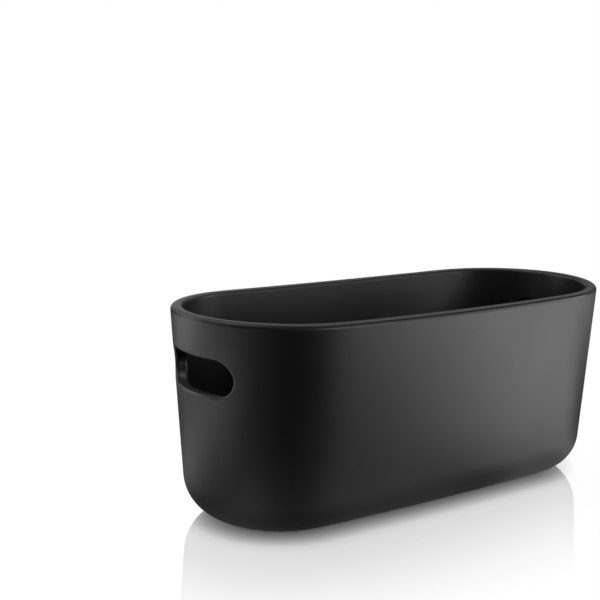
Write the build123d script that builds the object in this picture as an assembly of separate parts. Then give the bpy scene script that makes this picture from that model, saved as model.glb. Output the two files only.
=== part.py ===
from build123d import *
import os
from math import atan2, cos, radians, sin, tan

# Indoor herb planter: one tub with leaning walls and a finger slot through each end,
# standing on four round pads that are bedded in its underside.
# Millimetres, +Z up. The origin lies on the resting plane below the tub's middle,
# X runs along the tub, Y across it, and the front is on the -Y side.

os.makedirs("parts", exist_ok=True)

# Tub, its outline taken at the top of the ends before the rim is bevelled
length = 360.0
width = 158.0
height = 150.0              # resting plane to the rim at the two ends
side_bow = 2.4              # how far the long sides bow out past the round ends
draft_angle = 3.9           # degrees that every wall leans in towards the foot
rim_dip = 2.3               # how far the rim sinks towards the middle of the long sides
rim_bevel = 1.2             # breaks both edges of the rim
foot_round = 29.5           # outside radius between wall and underside
wall = 8.5
least_round = 2.0           # where the foot's rounding leaves less for the inside
floor_thickness = 9.6

# Finger slots
slot_width = 77.0
slot_height = 25.0
slot_below_rim = 39.5       # rim at the ends down to the slot's middle line
slot_bevel = 0.9            # breaks the slot's outer and inner edges

# Underside: a flat ring to stand on, round a shallow hollow
hollow_depth = 1.6
pad_margin = 4.0            # ring left on each side of a pad

# Pads, cut from sheet
pad_diameter = 13.0
pad_thickness = 2.4
pad_stand = 1.0             # how far a pad stands out of the underside
pad_clearance = 0.2         # all round a pad in its pocket
pad_angle = 78.0            # degrees round the end's centre, from the tub's long axis

overrun = 12.0              # how far a cutter passes the surface that it cuts

half_length = length / 2
end_radius = width / 2 - side_bow
end_centre = half_length - end_radius
slot_middle = height - slot_below_rim
draft = tan(radians(draft_angle))
ring_width = pad_diameter + 2 * pad_margin
# the underside is flat this far inside the rim's outline
flat_inset = (height - pad_stand) * draft + foot_round / tan(radians(90 + draft_angle) / 2)
pad_reach = end_radius - flat_inset - ring_width / 2
pad_x = end_centre + pad_reach * cos(radians(pad_angle))
pad_y = pad_reach * sin(radians(pad_angle))
pads = {
    "foot_front_left": (-pad_x, -pad_y),
    "foot_front_right": (pad_x, -pad_y),
    "foot_rear_left": (-pad_x, pad_y),
    "foot_rear_right": (pad_x, pad_y),
}


def oval(inset):
    # The tub's outline drawn in by an inset: round ends that run into slightly bowed sides.
    end = end_radius - inset
    side = (end_centre**2 + (end + side_bow) ** 2 - end**2) / (2 * side_bow)
    turn = atan2(end_centre, side - end - side_bow)
    x = end_centre + end * sin(turn)
    y = end * cos(turn)
    with BuildSketch() as sketch:
        with BuildLine():
            ThreePointArc((x, -y), (end_centre + end, 0), (x, y))
            ThreePointArc((x, y), (0, end + side_bow), (-x, y))
            ThreePointArc((-x, y), (-end_centre - end, 0), (-x, -y))
            ThreePointArc((-x, -y), (0, -end - side_bow), (x, -y))
        make_face()
    return sketch.sketch


def drafted(inset, low, round_below):
    # A leaning solid from a height up past the rim, with its lower edge rounded.
    # Its outline has that inset at the height of the rim.
    outline = Pos(0, 0, low) * oval(inset + (height - low) * draft)
    solid = extrude(outline, height + overrun - low, taper=-draft_angle)
    return fillet(solid.edges().group_by(Axis.Z)[0], round_below)


def above_rim():
    # Everything above the dipping rim, as one piece to cut away.
    reach = half_length + overrun
    arch = (half_length**2 + rim_dip**2) / (2 * rim_dip)
    lowest = height - rim_dip
    end_height = lowest + arch - (arch**2 - reach**2) ** 0.5
    with BuildSketch(Plane.XZ) as sketch:
        with BuildLine():
            ThreePointArc((-reach, end_height), (0, lowest), (reach, end_height))
            Polyline((reach, end_height), (reach, height + 2 * overrun),
                     (-reach, height + 2 * overrun), (-reach, end_height))
        make_face()
    return extrude(sketch.sketch, width / 2 + overrun, both=True)


def with_soft_rim(body):
    lowest = height - rim_dip - rim_bevel
    edges = [e for e in body.edges() if e.bounding_box().min.Z > lowest]
    return chamfer(edges, rim_bevel)


def with_slots(body):
    # One slot-shaped bar along the tub opens both ends.
    outline = Pos(0, 0, slot_middle) * (Plane.YZ * SlotOverall(slot_width, slot_height))
    body -= extrude(outline, half_length + overrun, both=True)
    low = slot_middle - slot_height / 2 - slot_bevel
    high = slot_middle + slot_height / 2 + slot_bevel
    edges = [e for e in body.edges() if e.geom_type != GeomType.LINE
             and e.bounding_box().min.Z > low and e.bounding_box().max.Z < high]
    return chamfer(edges, slot_bevel)


def make_body():
    body = drafted(0, pad_stand, foot_round)
    body -= drafted(wall, pad_stand + floor_thickness, max(foot_round - wall, least_round))
    body -= above_rim()
    body = with_slots(with_soft_rim(body))
    body -= extrude(oval(flat_inset + ring_width), pad_stand + hollow_depth)
    for x, y in pads.values():
        pocket = Cylinder(pad_diameter / 2 + pad_clearance, pad_thickness)
        body -= Pos(x, y, pad_thickness / 2) * pocket
    return body


def make_pad(x, y):
    return Pos(x, y, pad_thickness / 2) * Cylinder(pad_diameter / 2, pad_thickness)


export_step(make_body(), "parts/planter_body.step")
for name, (x, y) in pads.items():
    export_step(make_pad(x, y), f"parts/{name}.step")
print(f"pads at x {pad_x:.2f}, y {pad_y:.2f}")
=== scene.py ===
from math import asin, ceil, cos, pi, radians, sin, sqrt, tan

import bmesh
import bpy
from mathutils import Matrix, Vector


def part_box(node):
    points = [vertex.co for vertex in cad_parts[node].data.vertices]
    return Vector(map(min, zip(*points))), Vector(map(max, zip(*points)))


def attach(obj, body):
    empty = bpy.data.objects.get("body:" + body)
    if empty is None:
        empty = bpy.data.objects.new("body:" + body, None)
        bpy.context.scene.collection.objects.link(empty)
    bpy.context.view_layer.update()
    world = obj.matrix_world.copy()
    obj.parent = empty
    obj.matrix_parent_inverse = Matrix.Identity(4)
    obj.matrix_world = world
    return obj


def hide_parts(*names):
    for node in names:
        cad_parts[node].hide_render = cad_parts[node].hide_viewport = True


# Indoor herb planter: a black tub with a finger slot through each end, standing on four pads.
# Metres, +Z up. X runs along the tub, Y across it, and the front is on the -Y side.

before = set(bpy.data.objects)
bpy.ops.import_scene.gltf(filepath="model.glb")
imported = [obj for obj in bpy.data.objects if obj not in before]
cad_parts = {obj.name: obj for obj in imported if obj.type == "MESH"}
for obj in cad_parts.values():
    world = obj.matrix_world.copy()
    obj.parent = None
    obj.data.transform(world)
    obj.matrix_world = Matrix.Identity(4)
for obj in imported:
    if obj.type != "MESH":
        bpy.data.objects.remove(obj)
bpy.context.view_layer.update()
mm = 0.001
white = (1, 1, 1, 1)


# Helpers

def addObject(name, data):
    made = bpy.data.objects.new(name, data)
    bpy.context.scene.collection.objects.link(made)
    return made


def addNode(tree, kind, **settings):
    node = tree.nodes.new(kind)
    for name, value in settings.items():
        setattr(node, name, value)
    return node


def feed(tree, node, inputs):
    # Each input is a plain value or another node's socket, found by its name or its number.
    for key, value in inputs.items():
        if isinstance(value, bpy.types.NodeSocket):
            tree.links.new(value, node.inputs[key])
        else:
            node.inputs[key].default_value = value
    return node


def maths(tree, operation, *values, clamped=False):
    node = addNode(tree, "ShaderNodeMath", operation=operation, use_clamp=clamped)
    return feed(tree, node, dict(enumerate(values))).outputs[0]


def vectorMaths(tree, operation, *values):
    node = addNode(tree, "ShaderNodeVectorMath", operation=operation)
    if operation == "SCALE":
        feed(tree, node, {"Vector": values[0], "Scale": values[1]})
    else:
        feed(tree, node, dict(enumerate(values)))
    return node.outputs[0]


def combined(tree, x, y, z):
    return feed(tree, addNode(tree, "ShaderNodeCombineXYZ"), {"X": x, "Y": y, "Z": z}).outputs[0]


# Numbers of a Mix node's sockets: share, first, second, result.
mixSockets = {"FLOAT": (0, 2, 3, 0), "RGBA": (0, 6, 7, 2)}


def mixed(tree, kind, share, first, second):
    # The first value at share 0, the second at share 1.
    sockets = mixSockets[kind]
    node = addNode(tree, "ShaderNodeMix", data_type=kind)
    feed(tree, node, {sockets[0]: share, sockets[1]: first, sockets[2]: second})
    return node.outputs[sockets[3]]


def smoothRamp(tree, value, start, end, low=0.0, high=1.0):
    # Runs softly from low to high while the value goes from start to end.
    ramp = addNode(tree, "ShaderNodeMapRange", interpolation_type="SMOOTHSTEP")
    feed(tree, ramp, {"Value": value, "From Min": start, "From Max": end, "To Min": low, "To Max": high})
    return ramp.outputs[0]


def newTree(name, kind, inputs, outputs):
    # A node group with named sockets. Returns it, its input sockets and the node for its result.
    tree = bpy.data.node_groups.new(name, kind)
    for socketName, socketKind, value in inputs:
        socket = tree.interface.new_socket(name=socketName, in_out="INPUT", socket_type=socketKind)
        if value is not None:
            socket.default_value = value
    for socketName, socketKind in outputs:
        tree.interface.new_socket(name=socketName, in_out="OUTPUT", socket_type=socketKind)
    return tree, tree.nodes.new("NodeGroupInput").outputs, tree.nodes.new("NodeGroupOutput")


# Surface effects that the materials share

def fineGrainGroup():
    # The slight unevenness of a sprayed or moulded matt surface, as a height from 0 to 1.
    tree, given, result = newTree(
        "fineGrain", "ShaderNodeTree",
        [("Grain Size", "NodeSocketFloat", 0.5 * mm), ("Wave Size", "NodeSocketFloat", 6 * mm),
         ("Wave Share", "NodeSocketFloat", 0.3)],
        [("Height", "NodeSocketFloat")])
    place = addNode(tree, "ShaderNodeTexCoord").outputs["Object"]
    heights = []
    for size, detail in ((given["Grain Size"], 3.0), (given["Wave Size"], 1.0)):
        noise = addNode(tree, "ShaderNodeTexNoise")
        scale = maths(tree, "DIVIDE", 1.0, size)
        feed(tree, noise, {"Vector": place, "Scale": scale, "Detail": detail})
        heights.append(noise.outputs[0])
    tree.links.new(mixed(tree, "FLOAT", given["Wave Share"], *heights), result.inputs["Height"])
    return tree


def cloudGroup():
    # Slow change of a value over the surface, between two limits.
    tree, given, result = newTree(
        "cloud", "ShaderNodeTree",
        [("Size", "NodeSocketFloat", 40 * mm), ("Low", "NodeSocketFloat", 0.4),
         ("High", "NodeSocketFloat", 0.5)],
        [("Value", "NodeSocketFloat")])
    place = addNode(tree, "ShaderNodeTexCoord").outputs["Object"]
    noise = addNode(tree, "ShaderNodeTexNoise")
    scale = maths(tree, "DIVIDE", 1.0, given["Size"])
    feed(tree, noise, {"Vector": place, "Scale": scale, "Detail": 4.0})
    # nearly all of the noise lies between 0.3 and 0.7
    spread = addNode(tree, "ShaderNodeMapRange")
    feed(tree, spread, {"Value": noise.outputs[0], "From Min": 0.3, "From Max": 0.7,
                        "To Min": given["Low"], "To Max": given["High"]})
    tree.links.new(spread.outputs[0], result.inputs["Value"])
    return tree


fineGrain = fineGrainGroup()
cloud = cloudGroup()


def surfaceMaterial(name, settings):
    # A dull, dark, opaque finish with fine grain and a slow drift of its colour and gloss.
    material = bpy.data.materials.new(name)
    material.use_nodes = True
    tree = material.node_tree
    shader = tree.nodes["Principled BSDF"]
    shader.inputs["IOR"].default_value = settings["ior"]
    drift = addNode(tree, "ShaderNodeGroup", node_tree=cloud)
    feed(tree, drift, {"Size": settings["driftSize"], "Low": settings["roughness"][0],
                       "High": settings["roughness"][1]})
    shade = addNode(tree, "ShaderNodeGroup", node_tree=cloud)
    feed(tree, shade, {"Size": settings["shadeSize"], "Low": 0.0, "High": 1.0})
    colour = mixed(tree, "RGBA", shade.outputs[0], (*settings["dark"], 1), (*settings["light"], 1))
    grain = addNode(tree, "ShaderNodeGroup", node_tree=fineGrain)
    feed(tree, grain, {"Grain Size": settings["grainSize"], "Wave Size": settings["waveSize"],
                       "Wave Share": settings["waveShare"]})
    bump = addNode(tree, "ShaderNodeBump")
    feed(tree, bump, {"Strength": 1.0, "Distance": settings["grainHeight"], "Height": grain.outputs[0]})
    feed(tree, shader, {"Base Color": colour, "Roughness": drift.outputs[0], "Normal": bump.outputs[0]})
    return material


tubFinish = {
    "dark": (0.0042, 0.0042, 0.0043),
    "light": (0.0056, 0.0056, 0.0057),
    "shadeSize": 20 * mm,          # of the clouds that change the colour
    "roughness": (0.36, 0.40),
    "driftSize": 60 * mm,          # of the clouds that change the gloss
    "ior": 1.5,
    "grainSize": 0.45 * mm,
    "waveSize": 5 * mm,
    "waveShare": 0.5,
    "grainHeight": 0.010 * mm,
}
padFinish = {
    "dark": (0.018, 0.018, 0.019),
    "light": (0.034, 0.034, 0.035),
    "shadeSize": 2 * mm,
    "roughness": (0.72, 0.84),
    "driftSize": 6 * mm,
    "ior": 1.5,
    "grainSize": 0.25 * mm,
    "waveSize": 1.2 * mm,
    "waveShare": 0.3,
    "grainHeight": 0.03 * mm,
}
satinBlack = surfaceMaterial("satinBlack", tubFinish)
padRubber = surfaceMaterial("padRubber", padFinish)
print("materials made")


# The tub's wall as one section, swept round the oval

tub = {
    "endRadius": 76.6 * mm,        # round ends, at the top of the outline
    "sideBow": 2.4 * mm,           # how far the long sides bow out past the round ends
    "leanDegrees": 3.9,            # every wall leans in towards the foot
    "rimDip": 2.3 * mm,            # how far the rim sinks towards the middle of the long sides
    "dipDepth": 4.8 * mm,          # the wall sinks in full down to this depth below the rim
    "dipReach": 9 * mm,            # and ever less over this height below that
    "wall": 8.5 * mm,
    "rimOuterRound": 3.2 * mm,
    "rimInnerRound": 2.6 * mm,
    "rimBevel": 1.2 * mm,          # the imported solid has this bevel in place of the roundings
    "footRound": 29.5 * mm,
    "floorThickness": 9.6 * mm,
    "hollowDepth": 1.6 * mm,
    "hollowInset": 58.7 * mm,      # the hollow's edge, in from the rim's outline
    "centreInset": 62.0 * mm,      # last ring of the flat floor and underside
    "lipRound": 0.6 * mm,
    "levelStep": 2.5 * mm,         # spacing of the rings on the straight walls
    "flatStep": 10 * mm,           # and on the floor and underside
    "keepStep": 0.4 * mm,          # a ring this close to each rounding keeps the flats evenly shaded
    "arcStep": 6.0,                # degrees between the points of a rounding
    "circlePoints": 2880,          # of the first outline, from which the stations are spaced evenly
    "stations": 320,               # sections round the oval, a multiple of four
    "easeSteps": 16,               # more steps run the round ends more softly into the sides
    "sharpDegrees": 32,            # edges that turn by more than this stay sharp
}

tubLow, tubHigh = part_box("planter_body")
rimHeight = tubHigh.z
lean = tan(radians(tub["leanDegrees"]))
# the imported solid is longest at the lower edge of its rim's bevel
halfLength = tubHigh.x + tub["rimBevel"] * lean
endCentre = halfLength - tub["endRadius"]


def roundedCorner(before, corner, after):
    # The points of the arc that rounds a corner (inset, height, radius) between its neighbours.
    here = Vector(corner[:2])
    back = (Vector(before[:2]) - here).normalized()
    ahead = (Vector(after[:2]) - here).normalized()
    halfAngle = back.angle(ahead) / 2
    radius = corner[2]
    centre = here + (back + ahead).normalized() * radius / sin(halfAngle)
    spoke = here + back * radius / tan(halfAngle) - centre
    turn = pi - 2 * halfAngle
    if back.x * ahead.y - back.y * ahead.x > 0:
        turn = -turn
    steps = ceil(abs(turn) / radians(tub["arcStep"]))
    arc = []
    for i in range(steps + 1):
        angle = turn * i / steps
        arc.append((centre.x + spoke.x * cos(angle) - spoke.y * sin(angle),
                    centre.y + spoke.x * sin(angle) + spoke.y * cos(angle)))
    return arc


def straightRun(start, end):
    # The points between two roundings. On a wall they lie at heights that the other wall shares.
    a, b = Vector(start), Vector(end)
    length = (b - a).length
    keep = tub["keepStep"]
    clear = 3 * keep               # no other ring comes this close to the ends
    if length < clear + keep:
        return []
    if abs(b.y - a.y) > length / 2:
        low, high = sorted((a.y, b.y))
        levels = [i * tub["levelStep"] for i in range(ceil(rimHeight / tub["levelStep"]))]
        shares = sorted((z - a.y) / (b.y - a.y) for z in levels if low + clear < z < high - clear)
    else:
        count = int(length / tub["flatStep"])
        shares = [i / (count + 1) for i in range(1, count + 1)]
    return [tuple(a.lerp(b, share)) for share in [keep / length, *shares, 1 - keep / length]]


def tubSection():
    # Points (inset, height): underside, foot, outer wall, rim, inner wall, floor.
    floorTop = tubLow.z + tub["floorThickness"]
    hollowTop = tubLow.z + tub["hollowDepth"]
    corners = [
        (tub["centreInset"], hollowTop, 0),
        (tub["hollowInset"], hollowTop, tub["lipRound"]),
        (tub["hollowInset"], tubLow.z, tub["lipRound"]),
        ((rimHeight - tubLow.z) * lean, tubLow.z, tub["footRound"]),
        (0, rimHeight, tub["rimOuterRound"]),
        (tub["wall"], rimHeight, tub["rimInnerRound"]),
        (tub["wall"] + (rimHeight - floorTop) * lean, floorTop, tub["footRound"] - tub["wall"]),
        (tub["centreInset"], floorTop, 0),
    ]
    points = [corners[0][:2]]
    for i in range(1, len(corners) - 1):
        arc = roundedCorner(*corners[i - 1:i + 2])
        points += straightRun(points[-1], arc[0]) + arc
    return points + straightRun(points[-1], corners[-1][:2]) + [corners[-1][:2]]


def sweptTubTree():
    # Sweeps the section round an oval of four tangent arcs, then lets the rim dip between the ends.
    tree, given, result = newTree(
        "sweptTub", "GeometryNodeTree",
        [("Section", "NodeSocketObject", None), ("Half Length", "NodeSocketFloat", 0.18),
         ("End Radius", "NodeSocketFloat", 0.0766), ("Side Bow", "NodeSocketFloat", 0.0024),
         ("Circle Points", "NodeSocketInt", 2880), ("Stations", "NodeSocketInt", 320),
         ("Ease Steps", "NodeSocketInt", 16), ("Rim Height", "NodeSocketFloat", 0.15),
         ("Rim Dip", "NodeSocketFloat", 0.0023), ("Dip Depth", "NodeSocketFloat", 0.0048),
         ("Dip Reach", "NodeSocketFloat", 0.009), ("Lean", "NodeSocketFloat", 0.068),
         ("Finish", "NodeSocketMaterial", None)],
        [("Geometry", "NodeSocketGeometry")])
    end, bow = given["End Radius"], given["Side Bow"]
    centre = maths(tree, "SUBTRACT", given["Half Length"], end)
    # radius of the bowed sides: (centre^2 + (end + bow)^2 - end^2) / (2 bow)
    reach = maths(tree, "POWER", maths(tree, "ADD", end, bow), 2.0)
    squares = maths(tree, "SUBTRACT", maths(tree, "ADD", maths(tree, "POWER", centre, 2.0), reach),
                    maths(tree, "POWER", end, 2.0))
    side = maths(tree, "DIVIDE", squares, maths(tree, "MULTIPLY", bow, 2.0))
    sideCentre = maths(tree, "SUBTRACT", maths(tree, "SUBTRACT", side, end), bow)
    edge = maths(tree, "DIVIDE", centre, maths(tree, "SUBTRACT", side, end))
    # a unit circle's points are the outline's outward directions
    circle = feed(tree, addNode(tree, "GeometryNodeCurvePrimitiveCircle"),
                  {"Resolution": given["Circle Points"], "Radius": 1.0})
    outward = addNode(tree, "GeometryNodeInputPosition").outputs[0]
    parts = feed(tree, addNode(tree, "ShaderNodeSeparateXYZ"), {0: outward}).outputs
    onEnd = maths(tree, "GREATER_THAN", maths(tree, "ABSOLUTE", parts[0]), edge)
    onSide = maths(tree, "SUBTRACT", 1.0, onEnd)
    signs = [maths(tree, "SIGN", part) for part in parts[:2]]
    shiftX = maths(tree, "MULTIPLY", maths(tree, "MULTIPLY", signs[0], centre), onEnd)
    shiftY = maths(tree, "MULTIPLY", maths(tree, "MULTIPLY", signs[1], sideCentre), onSide)
    radius = maths(tree, "ADD", maths(tree, "MULTIPLY", end, onEnd), maths(tree, "MULTIPLY", side, onSide))
    spoke = vectorMaths(tree, "SCALE", outward, radius)
    middle = combined(tree, shiftX, maths(tree, "MULTIPLY", shiftY, -1.0), 0.0)
    oval = feed(tree, addNode(tree, "GeometryNodeSetPosition"),
                {"Geometry": circle.outputs[0], "Position": vectorMaths(tree, "ADD", spoke, middle)})
    spaced = feed(tree, addNode(tree, "GeometryNodeResampleCurve"),
                  {"Curve": oval.outputs[0], "Count": given["Stations"]})
    # the round ends run softly into the sides
    easing = addNode(tree, "GeometryNodeBlurAttribute", data_type="FLOAT_VECTOR")
    feed(tree, easing, {"Value": addNode(tree, "GeometryNodeInputPosition").outputs[0],
                        "Iterations": given["Ease Steps"]})
    path = feed(tree, addNode(tree, "GeometryNodeSetPosition"),
                {"Geometry": spaced.outputs[0], "Position": easing.outputs[0]})
    section = feed(tree, addNode(tree, "GeometryNodeObjectInfo"), {"Object": given["Section"]})
    swept = feed(tree, addNode(tree, "GeometryNodeCurveToMesh"),
                 {"Curve": path.outputs[0], "Profile Curve": section.outputs["Geometry"]})
    # near the rim every point slides down its leaning wall, most at the middle of the tub
    place = addNode(tree, "GeometryNodeInputPosition").outputs[0]
    x, y, z = feed(tree, addNode(tree, "ShaderNodeSeparateXYZ"), {0: place}).outputs
    along = maths(tree, "POWER", maths(tree, "DIVIDE", x, given["Half Length"]), 2.0)
    depth = maths(tree, "MULTIPLY", maths(tree, "SUBTRACT", 1.0, along), given["Rim Dip"])
    top = maths(tree, "SUBTRACT", given["Rim Height"], given["Dip Depth"])
    start = maths(tree, "SUBTRACT", top, given["Dip Reach"])
    share = maths(tree, "DIVIDE", maths(tree, "SUBTRACT", z, start), given["Dip Reach"], clamped=True)
    drop = maths(tree, "MULTIPLY", depth, share)
    alongMiddle = feed(tree, addNode(tree, "ShaderNodeClamp"),
                       {0: x, 1: maths(tree, "MULTIPLY", centre, -1.0), 2: centre}).outputs[0]
    outwards = vectorMaths(tree, "NORMALIZE", combined(tree, maths(tree, "SUBTRACT", x, alongMiddle), y, 0.0))
    sink = maths(tree, "MULTIPLY", drop, -1.0)
    inward = vectorMaths(tree, "SCALE", outwards, maths(tree, "MULTIPLY", sink, given["Lean"]))
    slide = vectorMaths(tree, "ADD", inward, combined(tree, 0.0, 0.0, sink))
    dipped = feed(tree, addNode(tree, "GeometryNodeSetPosition"),
                  {"Geometry": swept.outputs[0], "Offset": slide})
    real = feed(tree, addNode(tree, "GeometryNodeRealizeInstances"), {"Geometry": dipped.outputs[0]})
    finished = feed(tree, addNode(tree, "GeometryNodeSetMaterial"),
                    {"Geometry": real.outputs[0], "Material": given["Finish"]})
    tree.links.new(finished.outputs[0], result.inputs[0])
    return tree


def grown(name, tree, values):
    # A plain mesh from a Geometry Nodes tree and its named inputs.
    host = addObject(name, bpy.data.meshes.new(name))
    modifier = host.modifiers.new(tree.name, "NODES")
    modifier.node_group = tree
    for item in tree.interface.items_tree:
        if item.item_type == "SOCKET" and item.in_out == "INPUT":
            modifier[item.identifier] = values[item.name]
    evaluated = host.evaluated_get(bpy.context.evaluated_depsgraph_get())
    mesh = bpy.data.meshes.new_from_object(evaluated)
    host.modifiers.clear()
    host.data = mesh
    return host


def sectionCurve(points):
    # The profile's own x runs outwards and its y downwards, as the sweep needs them.
    curve = bpy.data.curves.new("tubSection", "CURVE")
    curve.dimensions = "2D"
    spline = curve.splines.new("POLY")
    spline.points.add(len(points) - 1)
    for point, (inset, height) in zip(spline.points, points):
        point.co = (-inset, -height, 0, 1)
    return addObject("tubSection", curve)


section = tubSection()


def sweptTub():
    sectionObject = sectionCurve(section)
    # Each step of easing puts a station at the mean of itself and its two neighbours, which draws
    # the round ends in a little, so they start larger by as much.
    outlineLength = 2 * pi * tub["endRadius"] + 4 * endCentre
    turnPerStation = outlineLength / tub["stations"] / tub["endRadius"]
    drawnIn = ((1 + 2 * cos(turnPerStation)) / 3) ** tub["easeSteps"]
    spare = tub["endRadius"] * (1 / drawnIn - 1)
    swept = grown("tub", sweptTubTree(), {
        "Section": sectionObject, "Half Length": halfLength + spare, "End Radius": tub["endRadius"] + spare,
        "Side Bow": tub["sideBow"] - spare, "Circle Points": tub["circlePoints"],
        "Stations": tub["stations"], "Ease Steps": tub["easeSteps"], "Rim Height": rimHeight,
        "Rim Dip": tub["rimDip"], "Dip Depth": tub["dipDepth"], "Dip Reach": tub["dipReach"],
        "Lean": lean, "Finish": satinBlack})
    bpy.data.objects.remove(sectionObject)
    return swept


body = sweptTub()
print("wall swept:", len(section), "points at each of", tub["stations"], "stations")


# Finger slots: the wall's grid is opened at each end and closed again round the slot

slot = {
    "width": 77 * mm,
    "height": 25 * mm,
    "belowRim": 39.5 * mm,         # rim at the ends down to the slot's middle line
    "outerRound": 1.6 * mm,
    "innerRound": 3.8 * mm,
    "margin": 8 * mm,              # the wall's grid is opened this far round the slot
    "arcSteps": 9,
    "wallRings": 5,
    "tunnelRings": 4,
    "passes": 6,                   # steps towards the place where a rounding meets the wall
}
slotMiddle = rimHeight - slot["belowRim"]
hair = 0.01 * mm                   # far below anything that can be seen


def wallX(y, z, inset):
    # Distance from the tub's middle to a wall of a round end, measured along the tub.
    radius = tub["endRadius"] - inset - (rimHeight - z) * lean
    return endCentre + sqrt(radius ** 2 - y ** 2)


def slotEdge(y, z):
    # Nearest point of the slot's outline, and the direction from it to the given point.
    half = (slot["width"] - slot["height"]) / 2
    corner = Vector((max(-half, min(half, y)), slotMiddle))
    away = (Vector((y, z)) - corner).normalized()
    return corner + away * slot["height"] / 2, away


def edgeRound(point, away, inset, radius, outer):
    # A rounding between the slot and a wall: distances from the slot's edge, and places along the tub.
    sense = 1 if outer else -1
    far = radius
    for _ in range(slot["passes"]):    # each pass measures the wall's slope nearer to the right place
        there = point + away * far
        ahead = point + away * (far + hair)
        slope = sense * (wallX(*ahead, inset) - wallX(*there, inset)) / hair
        slant = sqrt(1 + slope ** 2)
        far = radius * (1 - slope / slant)
    middle = sense * wallX(*(point + away * far), inset) - radius / slant
    widest = pi - asin(1 / slant) if slope < 0 else asin(1 / slant)
    steps = slot["arcSteps"]
    turns = [widest * (1 - i / steps) for i in range(steps + 1)]
    return [(radius - radius * cos(a), sense * (middle + radius * sin(a))) for a in turns]


def slotColumn(outerPoint, innerPoint):
    # From the outer wall through the slot to the inner wall, as points (x, y, z) for the right-hand end.
    point, away = slotEdge(outerPoint.y, outerPoint.z)
    outerArc = edgeRound(point, away, 0, slot["outerRound"], True)
    innerArc = edgeRound(point, away, tub["wall"], slot["innerRound"], False)
    innerArc.reverse()
    column = []

    def ringsOnWall(target, distance, inset):
        start = point + away * distance
        finish = Vector((target.y, target.z))
        near = tub["keepStep"] / (finish - start).length
        rings = slot["wallRings"]
        shares = [near] + [near + (1 - near) * i / rings for i in range(1, rings)]
        places = [start.lerp(finish, share) for share in shares]
        return [(wallX(p.x, p.y, inset), p.x, p.y) for p in places]

    column += reversed(ringsOnWall(outerPoint, outerArc[0][0], 0))
    column += [(x, *(point + away * distance)) for distance, x in outerArc]
    start, finish = outerArc[-1][1], innerArc[0][1]
    rings = slot["tunnelRings"]
    near = tub["keepStep"] / abs(finish - start)
    shares = [near + (1 - 2 * near) * i / rings for i in range(rings + 1)]
    column += [(start + (finish - start) * share, *point) for share in shares]
    column += [(x, *(point + away * distance)) for distance, x in innerArc]
    column += ringsOnWall(innerPoint, innerArc[-1][0], tub["wall"])
    return column


def openSlot(grid, at, side, outerLevels, innerLevels):
    # Takes a patch out of both walls and joins its two edges through the slot, column by column.
    stations = tub["stations"]
    spacing = (at(1, outerLevels[0]).co - at(0, outerLevels[0]).co).length
    radius = tub["endRadius"] - (rimHeight - slotMiddle) * lean
    half = ceil(asin((slot["width"] / 2 + slot["margin"]) / radius) * radius / spacing)
    middle = 0 if side > 0 else stations // 2
    across = [(middle + i) % stations for i in range(-half, half + 1)]
    last = len(outerLevels) - 1
    # once round the patch's edge, as stations and rows of levels
    loop = [(station, 0) for station in across] + [(across[-1], row) for row in range(1, last)]
    loop += [(station, last) for station in reversed(across)]
    loop += [(across[0], row) for row in range(last - 1, 0, -1)]
    patch = []
    for levels in (outerLevels, innerLevels):
        for here, beside in zip(across, across[1:]):
            for low, high in zip(levels, levels[1:]):
                corners = [at(here, low), at(beside, low), at(beside, high), at(here, high)]
                patch.append(grid.faces.get(corners))
    columns = []
    for station, row in loop:
        outer, inner = at(station, outerLevels[row]), at(station, innerLevels[row])
        made = [grid.verts.new((side * x, y, z)) for x, y, z in slotColumn(outer.co, inner.co)]
        columns.append([outer, *made, inner])
    bmesh.ops.delete(grid, geom=patch, context="FACES")
    for first, second in zip(columns, columns[1:] + columns[:1]):
        for i in range(len(first) - 1):
            grid.faces.new([first[i], second[i], second[i + 1], first[i + 1]])


def levelsOfWall(inset):
    # Numbers of the section's points on one straight wall, between the slot's margins.
    low = slotMiddle - slot["height"] / 2 - slot["margin"]
    high = slotMiddle + slot["height"] / 2 + slot["margin"]
    found = []
    for number, (across, z) in enumerate(section):
        if low < z < high and abs(across - inset - (rimHeight - z) * lean) < hair:
            found.append(number)
    return sorted(found, key=lambda number: section[number][1])


def finishTub():
    grid = bmesh.new()
    grid.from_mesh(body.data)
    grid.verts.ensure_lookup_table()
    table = [grid.verts[i * len(section):(i + 1) * len(section)] for i in range(tub["stations"])]

    def at(station, point):
        return table[station][point]

    for side in (1, -1):
        openSlot(grid, at, side, levelsOfWall(0), levelsOfWall(tub["wall"]))
    bmesh.ops.holes_fill(grid, edges=[e for e in grid.edges if e.is_boundary], sides=0)
    bmesh.ops.recalc_face_normals(grid, faces=grid.faces)
    for face in grid.faces:
        face.smooth = True
    openEdges = sum(1 for e in grid.edges if not e.is_manifold)
    litres = grid.calc_volume() * 1000
    print(f"slots opened: {openEdges} open edges, {litres:.4f} litres of material")
    grid.to_mesh(body.data)
    grid.free()


finishTub()


# Pockets for the pads

pocket = {"clearance": 0.2 * mm, "sides": 64}


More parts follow.
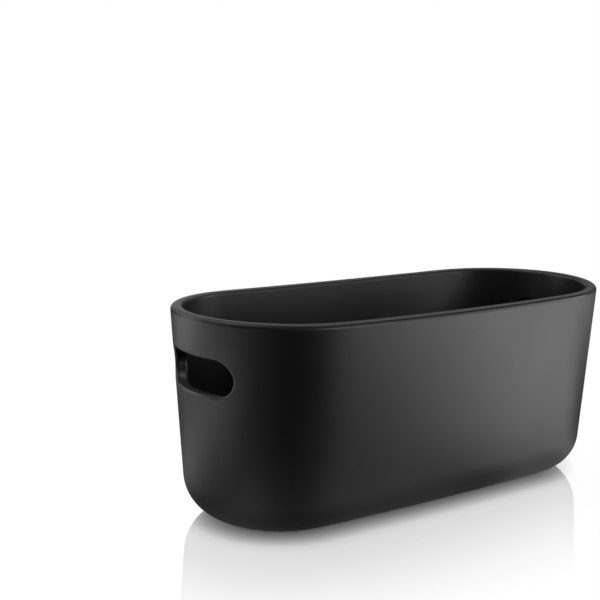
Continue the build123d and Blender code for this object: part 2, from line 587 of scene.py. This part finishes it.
def pocketTree():
    # Plugs on the four corners of a grid are cut out of the tub.
    tree, given, result = newTree(
        "padPockets", "GeometryNodeTree",
        [("Tub", "NodeSocketObject", None), ("Pad X", "NodeSocketFloat", 0.11),
         ("Pad Y", "NodeSocketFloat", 0.028), ("Radius", "NodeSocketFloat", 0.0067),
         ("Depth", "NodeSocketFloat", 0.0024), ("Sides", "NodeSocketInt", 64),
         ("Finish", "NodeSocketMaterial", None)],
        [("Geometry", "NodeSocketGeometry")])
    doubled = [maths(tree, "MULTIPLY", given[name], 2.0) for name in ("Pad X", "Pad Y")]
    places = feed(tree, addNode(tree, "GeometryNodeMeshGrid"),
                  {"Size X": doubled[0], "Size Y": doubled[1], "Vertices X": 2, "Vertices Y": 2})
    plug = feed(tree, addNode(tree, "GeometryNodeMeshCylinder"),
                {"Vertices": given["Sides"], "Radius": given["Radius"],
                 "Depth": maths(tree, "MULTIPLY", given["Depth"], 2.0)})
    plugs = feed(tree, addNode(tree, "GeometryNodeInstanceOnPoints"),
                 {"Points": places.outputs[0], "Instance": plug.outputs[0]})
    # made real here too, because one cutter takes a tenth of the time of four
    cutters = feed(tree, addNode(tree, "GeometryNodeRealizeInstances"), {"Geometry": plugs.outputs[0]})
    whole = feed(tree, addNode(tree, "GeometryNodeObjectInfo"), {"Object": given["Tub"]})
    cut = feed(tree, addNode(tree, "GeometryNodeMeshBoolean", operation="DIFFERENCE", solver="EXACT"),
               {"Mesh 1": whole.outputs["Geometry"], "Mesh 2": cutters.outputs[0]})
    real = feed(tree, addNode(tree, "GeometryNodeRealizeInstances"), {"Geometry": cut.outputs[0]})
    finished = feed(tree, addNode(tree, "GeometryNodeSetMaterial"),
                    {"Geometry": real.outputs[0], "Material": given["Finish"]})
    tree.links.new(finished.outputs[0], result.inputs[0])
    return tree


padLow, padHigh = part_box("foot_rear_right")
planter = grown("planterTub", pocketTree(), {
    "Tub": body, "Pad X": (padLow.x + padHigh.x) / 2, "Pad Y": (padLow.y + padHigh.y) / 2,
    "Radius": (padHigh.x - padLow.x) / 2 + pocket["clearance"], "Depth": padHigh.z, "Sides": pocket["sides"],
    "Finish": satinBlack})
bpy.data.objects.remove(body)
planter.data.shade_smooth()
planter.data.set_sharp_from_angle(angle=radians(tub["sharpDegrees"]))
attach(planter, "root")
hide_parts("planter_body")
print("pockets cut:", len(planter.data.polygons), "faces in the tub")

for name in ("foot_front_left", "foot_front_right", "foot_rear_left", "foot_rear_right"):
    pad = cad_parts[name]
    pad.data.materials.clear()
    pad.data.materials.append(padRubber)
print("pads finished")


# Floor and background

stage = {
    "size": 8.0,                           # side of the square floor
    "colour": (0.15, 0.15, 0.15),          # under the lamps, as the camera sees it
    "sky": 0.93,                           # white light that the camera sees on the open floor
    "skyReach": 0.013,                     # the tub shades it from this near
    "skySamples": 16,                      # of that shade
    "shadeInMirror": (0.03, 0.03, 0.03),   # the floor as the tub's dull surface mirrors it
    "baseRadius": 0.066,                   # of the tub's round ends at the floor
    "polish": 0.27,                        # share that the floor mirrors beside the tub
    "polishReach": 0.14,                   # this far out it mirrors nothing
    "contactShadePolish": 0.30,                   # added mirror share below the tub's rounded foot: painted contact shade, as the floor there mirrors the dark tub
    "contactShadeReach": (-0.020, 0.015),
    "fadeStart": 0.35,                     # the floor turns to plain white between these distances
    "fadeEnd": 0.7,
    "worldLevel": 0.15,                    # of the world in the tub's dull surface
}

# Soft pools of light on the floor, which the tub's leaning walls mirror: x, y, radius, level.
pools = {
    "front": (0.06, -0.20, 0.08, 0.6),
    "frontRight": (0.18, -0.18, 0.08, 2.2),
    "besideFrontRight": (0.30, -0.20, 0.08, 2.1),
    "farFrontRight": (0.44, -0.46, 0.20, 6.2),
    "farRight": (1.00, -0.34, 0.35, 2.3),
    "rightFoot": (0.175, -0.085, 0.04, 0.45),
    "underRightFoot": (0.085, -0.06, 0.035, 0.1),
    "frontFootRight": (0.10, -0.10, 0.035, 0.5),
    "frontFoot": (0.0, -0.115, 0.05, 0.4),
    "frontFootLeft": (-0.075, -0.115, 0.05, 0.45),
    "leftFrontFoot": (-0.155, -0.115, 0.045, 0.1),
    "leftFoot": (-0.20, -0.06, 0.05, 0.55),
    "left": (-0.44, 0.04, 0.13, 1.6),
    "farLeftFront": (-0.63, -0.22, 0.20, 0.6),
    "backLeft": (-0.25, 0.125, 0.08, 0.8),
    "farBackLeft": (-0.84, 0.62, 0.35, 3.8),
    "besideBackLeft": (-0.45, 0.52, 0.20, 1.0),
    "back": (0.10, 0.42, 0.15, 0.35),
    "backRight": (0.45, 0.42, 0.20, 1.2),
}


def poolLight(tree, place):
    # Each pool fades from its middle as exp(-(distance / radius) ** 2).
    total = 0.0
    for x, y, radius, level in pools.values():
        spoke = addNode(tree, "ShaderNodeVectorMath", operation="DISTANCE")
        feed(tree, spoke, {0: place, 1: (x, y, 0)})
        share = maths(tree, "POWER", maths(tree, "DIVIDE", spoke.outputs[1], radius), 2.0)
        glow = maths(tree, "EXPONENT", maths(tree, "MULTIPLY", share, -1.0))
        total = maths(tree, "ADD", total, maths(tree, "MULTIPLY", glow, level))
    return total


def makeFloor():
    half = stage["size"] / 2
    mesh = bpy.data.meshes.new("floor")
    corners = [(-half, -half, 0), (half, -half, 0), (half, half, 0), (-half, half, 0)]
    mesh.from_pydata(corners, [], [(0, 1, 2, 3)])
    floor = addObject("floor", mesh)
    material = bpy.data.materials.new("paleFloor")
    material.use_nodes = True
    tree = material.node_tree
    tree.nodes.remove(tree.nodes["Principled BSDF"])
    seen = addNode(tree, "ShaderNodeLightPath").outputs["Is Camera Ray"]
    colour = mixed(tree, "RGBA", seen, (*stage["shadeInMirror"], 1), (*stage["colour"], 1))
    dull = feed(tree, addNode(tree, "ShaderNodeBsdfDiffuse"), {"Color": colour})
    # distance from the tub's foot
    place = addNode(tree, "ShaderNodeTexCoord").outputs["Object"]
    x, y = feed(tree, addNode(tree, "ShaderNodeSeparateXYZ"), {0: place}).outputs[:2]
    alongMiddle = feed(tree, addNode(tree, "ShaderNodeClamp"), {0: x, 1: -endCentre, 2: endCentre}).outputs[0]
    spoke = addNode(tree, "ShaderNodeVectorMath", operation="LENGTH")
    feed(tree, spoke, {0: combined(tree, maths(tree, "SUBTRACT", x, alongMiddle), y, 0.0)})
    distance = maths(tree, "SUBTRACT", spoke.outputs[1], stage["baseRadius"])
    # white sky for the camera, pools of light for the tub
    openness = feed(tree, addNode(tree, "ShaderNodeAmbientOcclusion", samples=stage["skySamples"]),
                    {"Distance": stage["skyReach"]}).outputs["AO"]
    # the square root keeps the shadow below the foot narrow
    sky = maths(tree, "MULTIPLY", maths(tree, "SQRT", openness), stage["sky"])
    level = mixed(tree, "FLOAT", seen, poolLight(tree, place), sky)
    light = feed(tree, addNode(tree, "ShaderNodeEmission"), {"Color": level, "Strength": 1.0})
    lit = feed(tree, addNode(tree, "ShaderNodeAddShader"), {0: dull.outputs[0], 1: light.outputs[0]})
    # the polish, which only the camera sees
    beside = smoothRamp(tree, distance, 0.0, stage["polishReach"], stage["polish"], 0.0)
    # painted contact shade: right at the foot the floor mirrors more of the dark tub and goes darker
    contactShade = smoothRamp(tree, distance, *stage["contactShadeReach"], stage["contactShadePolish"], 0.0)
    polish = maths(tree, "MULTIPLY", maths(tree, "ADD", beside, contactShade), seen)
    mirror = feed(tree, addNode(tree, "ShaderNodeBsdfGlossy"), {"Color": white, "Roughness": 0.0})
    polished = feed(tree, addNode(tree, "ShaderNodeMixShader"),
                    {0: polish, 1: lit.outputs[0], 2: mirror.outputs[0]})
    # plain white further out
    fade = maths(tree, "MULTIPLY", smoothRamp(tree, distance, stage["fadeStart"], stage["fadeEnd"]), seen)
    plain = feed(tree, addNode(tree, "ShaderNodeEmission"), {"Color": white, "Strength": 1.0})
    faded = feed(tree, addNode(tree, "ShaderNodeMixShader"),
                 {0: fade, 1: polished.outputs[0], 2: plain.outputs[0]})
    tree.links.new(faded.outputs[0], tree.nodes["Material Output"].inputs["Surface"])
    mesh.materials.append(material)


def makeWorld():
    world = bpy.data.worlds.new("studio")
    bpy.context.scene.world = world
    world.use_nodes = True
    tree = world.node_tree
    # white for the camera, through glass and in a sharp polish, faint for the tub's dull surface
    rays = addNode(tree, "ShaderNodeLightPath").outputs
    plain = rays["Is Camera Ray"]
    for kind in ("Is Singular Ray", "Is Transmission Ray"):
        plain = maths(tree, "MAXIMUM", plain, rays[kind])
    level = mixed(tree, "FLOAT", plain, stage["worldLevel"], 1.0)
    feed(tree, tree.nodes["Background"], {"Color": white, "Strength": level})


makeFloor()
makeWorld()
print("floor and world made,", len(pools), "pools of light")


# Lamps: square softboxes round the tub, all turned to its middle. Each: azimuth, elevation, side, watts.

lampDistance = 1.6
softboxes = {
    "front": (20, 12, 0.7, 5.0),
    "right": (60, 12, 0.7, 6.4),
    "topRight": (120, 62, 0.9, 3.2),
    "topLeft": (-120, 62, 0.9, 4.9),
    "backRight": (120, 35, 0.8, 1.1),
    "backLow": (160, 12, 0.7, 0.8),
    "backLeftLow": (-136, 14, 0.7, 2.9),
    "leftLow": (-100, 16, 0.5, 0.7),
    "back": (-160, 35, 0.8, 2.6),
}


def direction(azimuth, elevation):
    # From the tub towards this place. Azimuth 0 is the front and 90 the right.
    a, e = radians(azimuth), radians(elevation)
    return Vector((sin(a) * cos(e), -cos(a) * cos(e), sin(e)))


def makeLamp(name, azimuth, elevation, side, watts):
    data = bpy.data.lights.new(name, "AREA")
    data.shape = "SQUARE"
    data.size = side
    data.energy = watts
    lamp = addObject(name, data)
    out = direction(azimuth, elevation)
    lamp.location = out * lampDistance + Vector((0, 0, rimHeight / 2))
    lamp.rotation_euler = out.to_track_quat("Z", "Y").to_euler()
    lamp.visible_camera = False


for name, row in softboxes.items():
    makeLamp(name, *row)
print(len(softboxes), "softboxes hung")


# Camera, at the photograph's viewing angle

view = {
    "azimuth": -34.30,
    "elevation": 9.95,
    "roll": 0.68,
    "pictureWidth": 600,           # pixels, as high as wide
    "focal": 1078.48,              # pixels
    "distance": 817.92 * mm,       # to the aim, along the line of sight
    "aimHeight": 70 * mm,
    "aimAt": (393.89, 394.06),     # the pixel at which the aim appears
    "centre": (299.5, 299.5),      # the picture's middle pixel
    "sensorWidth": 36,             # millimetres
}


def makeCamera():
    back = direction(view["azimuth"], view["elevation"])
    level = Vector((cos(radians(view["azimuth"])), sin(radians(view["azimuth"])), 0))
    upright = back.cross(level)
    roll = radians(view["roll"])
    right = level * cos(roll) + upright * sin(roll)
    up = upright * cos(roll) - level * sin(roll)
    pixel = view["distance"] / view["focal"]
    across = (view["aimAt"][0] - view["centre"][0]) * pixel
    down = (view["aimAt"][1] - view["centre"][1]) * pixel
    data = bpy.data.cameras.new("camera")
    data.sensor_fit = "HORIZONTAL"
    data.sensor_width = view["sensorWidth"]
    data.lens = view["focal"] / view["pictureWidth"] * data.sensor_width
    camera = addObject("camera", data)
    turn = camera.matrix_world.to_3x3()
    turn.col[0], turn.col[1], turn.col[2] = right, up, back
    camera.matrix_world = turn.to_4x4()
    aim = Vector((0, 0, view["aimHeight"]))
    camera.location = aim + back * view["distance"] - right * across + up * down
    bpy.context.scene.camera = camera


makeCamera()
print("camera placed")
bpy.context.scene.view_settings.view_transform = "Standard"
